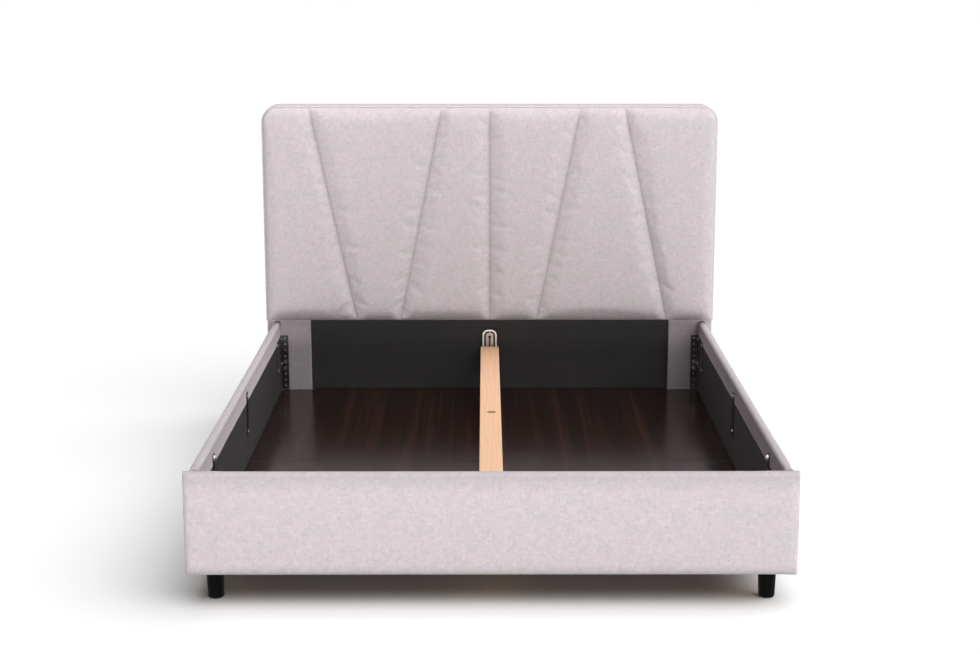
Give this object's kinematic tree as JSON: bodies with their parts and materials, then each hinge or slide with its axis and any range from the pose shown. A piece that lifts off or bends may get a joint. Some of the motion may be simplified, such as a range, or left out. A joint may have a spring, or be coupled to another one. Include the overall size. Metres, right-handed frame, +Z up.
{
  "type": "upholstered bed",
  "caption": "Upholstered storage bed without mattress: padded box on tapered feet, channelled headboard with slanting seams, and a loose centre beam hung in keyhole hangers.",
  "frame": {"origin": "on the ground, below the middle of the whole bed", "axes": "+X across the bed, to the right as seen from the foot; +Y along the bed, towards the headboard; +Z up"},
  "size_m": [1.72, 2.135, 1.22],
  "materials": {
    "upholstery_fabric": "matte",
    "box_lining": "matte",
    "back_cloth": "matte",
    "frame_board": "matte",
    "frame_timber": "matte",
    "floor_laminate": "satin",
    "beam_pine": "satin",
    "bracket_steel": "satin",
    "hanger_steel": "polished",
    "fastener_steel": "satin",
    "foot_plastic": "satin"
  },
  "bodies": {
    "bed_frame": {"beam_hanger_foot": "hanger_steel", "beam_hanger_head": "hanger_steel", "bracket_screws": "fastener_steel", "corner_angle_bolts": "fastener_steel", "corner_angle_foot_left": "bracket_steel", "corner_angle_foot_right": "bracket_steel", "corner_angle_head_left": "bracket_steel", "corner_angle_head_right": "bracket_steel", "floor_board_front_left": "floor_laminate", "floor_board_front_right": "floor_laminate", "floor_board_rear_left": "floor_laminate", "floor_board_rear_right": "floor_laminate", "floor_centre_bearer": "frame_timber", "floor_cross_bearers": "frame_timber", "floor_ledges_end": "frame_timber", "floor_ledges_side": "frame_timber", "foot_centre": "foot_plastic", "foot_corner_blocks": "frame_timber", "foot_front_left": "foot_plastic", "foot_front_right": "foot_plastic", "foot_panel_board": "frame_board", "foot_panel_cover": "upholstery_fabric", "foot_panel_lining": "box_lining", "foot_rear_left": "foot_plastic", "foot_rear_right": "foot_plastic", "foot_studs": "fastener_steel", "headboard_back_board": "frame_board", "headboard_back_cover": "back_cloth", "headboard_border": "upholstery_fabric", "headboard_channel_1": "upholstery_fabric", "headboard_channel_2": "upholstery_fabric", "headboard_channel_3": "upholstery_fabric", "headboard_channel_4": "upholstery_fabric", "headboard_channel_5": "upholstery_fabric", "headboard_channel_6": "upholstery_fabric", "headboard_face_board": "frame_board", "headboard_lower_rail": "frame_timber", "headboard_post_cover_left": "upholstery_fabric", "headboard_post_cover_right": "upholstery_fabric", "headboard_stile_left": "frame_timber", "headboard_stile_right": "frame_timber", "headboard_struts": "frame_timber", "headboard_top_rail": "frame_timber", "rear_board": "frame_board", "rear_board_lining": "box_lining", "side_rail_board_left": "frame_board", "side_rail_board_right": "frame_board", "side_rail_cover_left": "upholstery_fabric", "side_rail_cover_right": "upholstery_fabric", "side_rail_lining_left": "box_lining", "side_rail_lining_right": "box_lining", "slat_support_foot_left": "bracket_steel", "slat_support_foot_right": "bracket_steel", "slat_support_middle_left": "bracket_steel", "slat_support_middle_right": "bracket_steel", "slat_support_studs": "fastener_steel"},
    "centre_beam": {"centre_beam": "beam_pine", "beam_stud_head": "fastener_steel", "beam_stud_foot": "fastener_steel", "beam_leg": "beam_pine"}
  },
  "joints": [
    {"name": "centre_beam_lift", "type": "slide", "parent": "bed_frame", "child": "centre_beam", "axis": [0, 0, 1], "range_m": [0, 0.058]}
  ]
}
